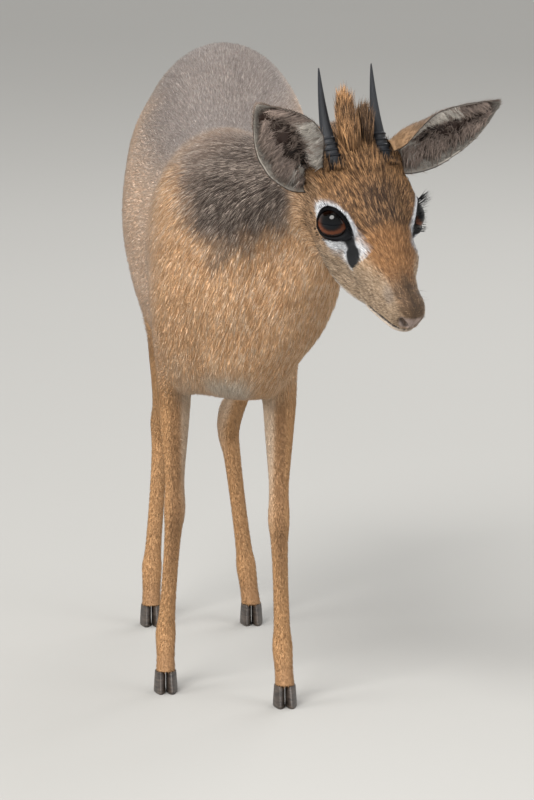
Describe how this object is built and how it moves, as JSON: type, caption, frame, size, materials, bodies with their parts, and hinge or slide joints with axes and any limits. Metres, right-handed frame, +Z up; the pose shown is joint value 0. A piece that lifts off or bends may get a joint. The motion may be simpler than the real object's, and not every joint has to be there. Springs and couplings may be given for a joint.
{
  "type": "dik-dik model",
  "caption": "Life-size still model of a small antelope ram standing square, head turned aside and lowered, with spread ears, straight horns, an erect crest and cloven hooves",
  "frame": {"origin": "on the floor, under the middle of the bounding box", "axes": "+Z is up, the animal faces -Y, and its left side is +X; the head is turned towards +X"},
  "size_m": [0.2302, 0.5518, 0.4307],
  "materials": {
    "back_coat": "short grizzled grey-brown fur",
    "body_coat": "short sandy fur",
    "face_coat": "very short rufous fur",
    "crest_hair": "stiff erect hair",
    "ear_skin": "thin skin with sparse hair",
    "horn": "dark ringed horn, dull sheen",
    "hoof": "dark worn horn",
    "eye": "wet, dark brown, clear surface"
  },
  "bodies": {
    "root": {"trunk": "back_coat", "tail": "back_coat", "neck": "body_coat", "head": "face_coat", "crest": "crest_hair", "ear_left": "ear_skin", "ear_right": "ear_skin", "eye_left": "eye", "eye_right": "eye", "horn_left": "horn", "horn_right": "horn", "fore_leg_left": "body_coat", "fore_leg_right": "body_coat", "hind_leg_left": "body_coat", "hind_leg_right": "body_coat", "hoof_fore_left_inner": "hoof", "hoof_fore_left_outer": "hoof", "hoof_fore_right_inner": "hoof", "hoof_fore_right_outer": "hoof", "hoof_hind_left_inner": "hoof", "hoof_hind_left_outer": "hoof", "hoof_hind_right_inner": "hoof", "hoof_hind_right_outer": "hoof"}
  },
  "joints": []
}
